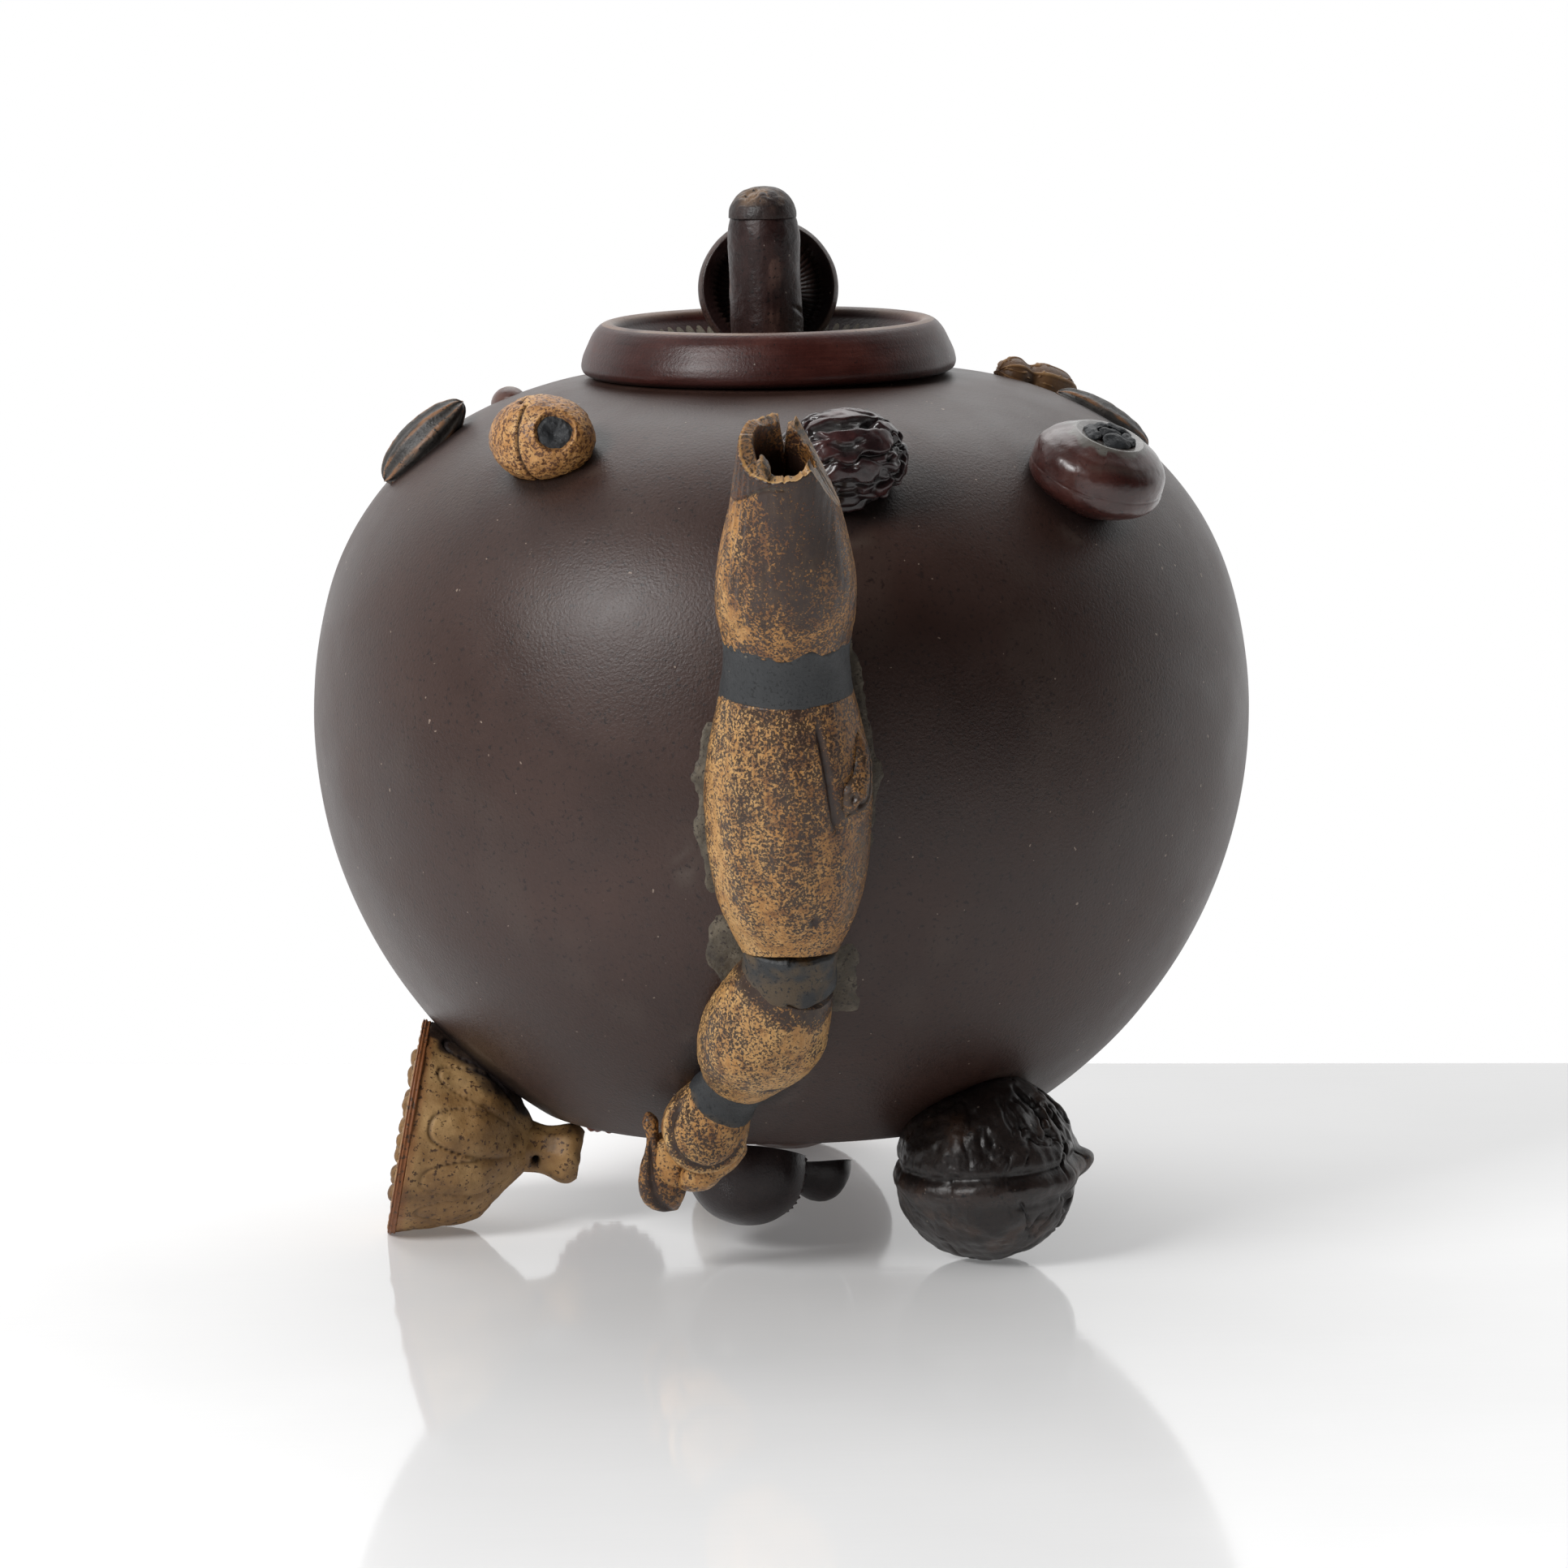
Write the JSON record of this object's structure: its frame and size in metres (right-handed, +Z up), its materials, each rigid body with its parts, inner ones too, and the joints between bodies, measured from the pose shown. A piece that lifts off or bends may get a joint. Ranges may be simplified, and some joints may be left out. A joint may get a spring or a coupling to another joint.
{
  "type": "yixing clay teapot",
  "caption": "Round unglazed clay teapot on fruit and nut feet, with a lotus-root spout, seeds on its shoulder and a lift-off mushroom lid.",
  "frame": {"origin": "where the pot's own axis meets the table that its three feet stand on", "axes": "+Z up along the pot's axis, -Y towards the spout, +Y towards the handle, +X to the right of someone facing the spout"},
  "size_m": [0.11, 0.1567, 0.1214],
  "materials": {
    "belly_clay": "unglazed purplish-brown clay, matt satin, fine grain",
    "root_clay": "ochre clay stained dark in speckles, satin",
    "band_clay": "matt slate-black clay",
    "slip_clay": "dry grey slip",
    "caltrop_clay": "dark red-brown clay, satin",
    "walnut_clay": "near-black brown clay, waxy",
    "chestnut_clay": "chestnut-brown clay, waxy",
    "pod_clay": "olive-tan clay, matt",
    "mushroom_clay": "dark purple-brown clay, satin",
    "lychee_clay": "dull red clay, pebbled",
    "lotus_seed_clay": "golden clay speckled brown, satin",
    "black_clay": "matt black clay",
    "jujube_clay": "wrinkled dark maroon clay, waxy",
    "water_chestnut_clay": "dark red-brown clay, burnished",
    "seed_clay": "grey-black clay with tan stripes",
    "red_bean_clay": "red clay, burnished",
    "peanut_clay": "tan-brown clay, netted",
    "nut_clay": "pale buff clay, smooth",
    "lid_clay": "reddish maroon clay, brushed satin",
    "gill_clay": "grey-olive clay, radially combed",
    "stem_clay": "dark maroon clay, satin",
    "root_end_clay": "rough bare tan clay"
  },
  "bodies": {
    "pot": {"body_shell": "belly_clay", "base_disc": "belly_clay", "shoulder_disc": "belly_clay", "mouth_collar": "belly_clay", "spout_tip": "root_clay", "spout_middle": "root_clay", "spout_side_bud": "root_clay", "spout_lower": "root_clay", "spout_end": "root_clay", "spout_sheath": "root_clay", "spout_band_top": "band_clay", "spout_band_middle": "band_clay", "spout_band_lower": "band_clay", "spout_slip": "slip_clay", "handle_upper_horn": "caltrop_clay", "handle_belly": "caltrop_clay", "handle_lower_horn": "caltrop_clay", "walnut_foot": "walnut_clay", "walnut_seam": "walnut_clay", "chestnut_foot": "chestnut_clay", "pod_cone": "pod_clay", "pod_disc": "pod_clay", "pod_seeds": "pod_clay", "pod_stem": "pod_clay", "mushroom_cap": "mushroom_clay", "mushroom_stem": "mushroom_clay", "lychee": "lychee_clay", "lotus_seed": "lotus_seed_clay", "lotus_seed_tip": "black_clay", "jujube": "jujube_clay", "jujube_stem_scar": "jujube_clay", "water_chestnut": "water_chestnut_clay", "water_chestnut_sprout": "water_chestnut_clay", "sunflower_seed": "seed_clay", "striped_seed": "seed_clay", "melon_seeds": "seed_clay", "red_bean": "red_bean_clay", "peanut": "peanut_clay", "ginkgo_nut": "nut_clay", "hazelnut": "nut_clay"},
    "lid_ring": {"lid_flange": "lid_clay"},
    "lid": {"lid_cap": "lid_clay", "lid_gills": "gill_clay", "knob_stem": "stem_clay", "knob_root_end": "root_end_clay", "knob_mushroom_cap": "stem_clay", "knob_mushroom_stem": "stem_clay"}
  },
  "joints": [
    {"name": "lid_lift", "type": "slide", "parent": "pot", "child": "lid_ring", "axis": [0, 0, 1], "range_m": [0, 0.06]},
    {"name": "lid_turn", "type": "hinge", "parent": "lid_ring", "child": "lid", "pos_m": [-0.0008, 0, 0.1], "axis": [0, 0, 1], "continuous": true}
  ]
}
